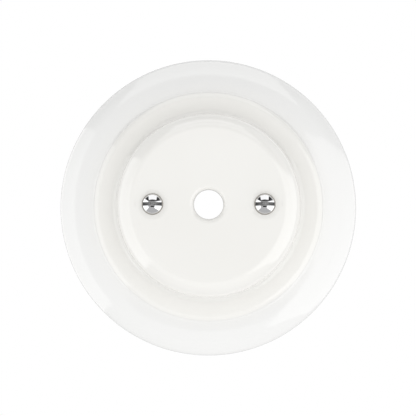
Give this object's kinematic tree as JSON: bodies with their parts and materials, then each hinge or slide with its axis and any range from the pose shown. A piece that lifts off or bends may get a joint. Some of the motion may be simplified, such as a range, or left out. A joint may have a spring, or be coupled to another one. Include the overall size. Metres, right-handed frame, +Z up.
{
  "type": "ceiling canopy",
  "caption": "Round stepped porcelain ceiling canopy with a central cable hole, slotted domed cover screws, a steel mounting bar and an earth terminal.",
  "frame": {"origin": "centre of the rim plane, where the cover and the mounting bar's feet lie against the ceiling", "axes": "+Z up into the ceiling, so the face looks down; +X from the centre through one cover screw; +Y towards the earth terminal"},
  "size_m": [0.11, 0.11, 0.0284],
  "materials": {
    "glazed_porcelain": "glossy white glaze, bare on the foot of the rim",
    "chromed_steel": "bright chrome plating",
    "zinc_plated_steel": "zinc plated sheet",
    "zinc_plated_clamp": "zinc plated",
    "spring_steel": "plain spring steel",
    "zinc_plated_screw": "zinc plated"
  },
  "bodies": {
    "root": {"porcelain_cover": "glazed_porcelain", "cover_screws": "chromed_steel", "mounting_bar": "zinc_plated_steel", "earth_clamp": "zinc_plated_clamp", "earth_spring_washer": "spring_steel", "earth_screw": "zinc_plated_screw"}
  },
  "joints": []
}
